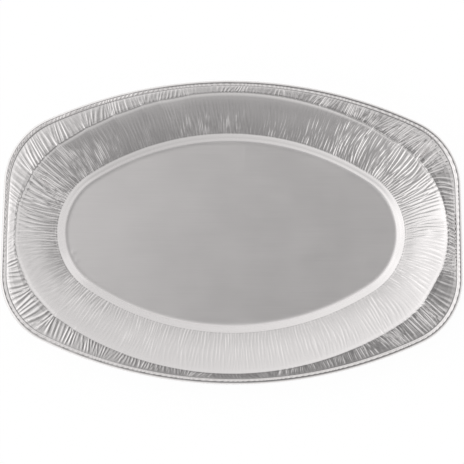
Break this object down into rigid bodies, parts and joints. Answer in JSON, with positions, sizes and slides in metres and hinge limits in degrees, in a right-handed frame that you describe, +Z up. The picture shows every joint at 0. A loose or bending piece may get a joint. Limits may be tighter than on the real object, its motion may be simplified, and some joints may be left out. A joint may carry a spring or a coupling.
{
  "type": "foil oval serving tray",
  "caption": "Shallow oval serving tray pressed from one sheet of aluminium foil, with a flat floor, a short steep collar round it, a pleated wall, a ledge widening at its corners and a rolled edge.",
  "frame": {"origin": "on the table, under the middle of the floor", "axes": "+X along the tray's length, +Y across it, +Z up out of the tray"},
  "size_m": [0.432, 0.2868, 0.0218],
  "materials": {
    "foil": "bright rolled foil, matte on the flat floor and glossier on the creased wall and rolled edge"
  },
  "bodies": {
    "root": {"foil_tray": "foil"}
  },
  "joints": []
}
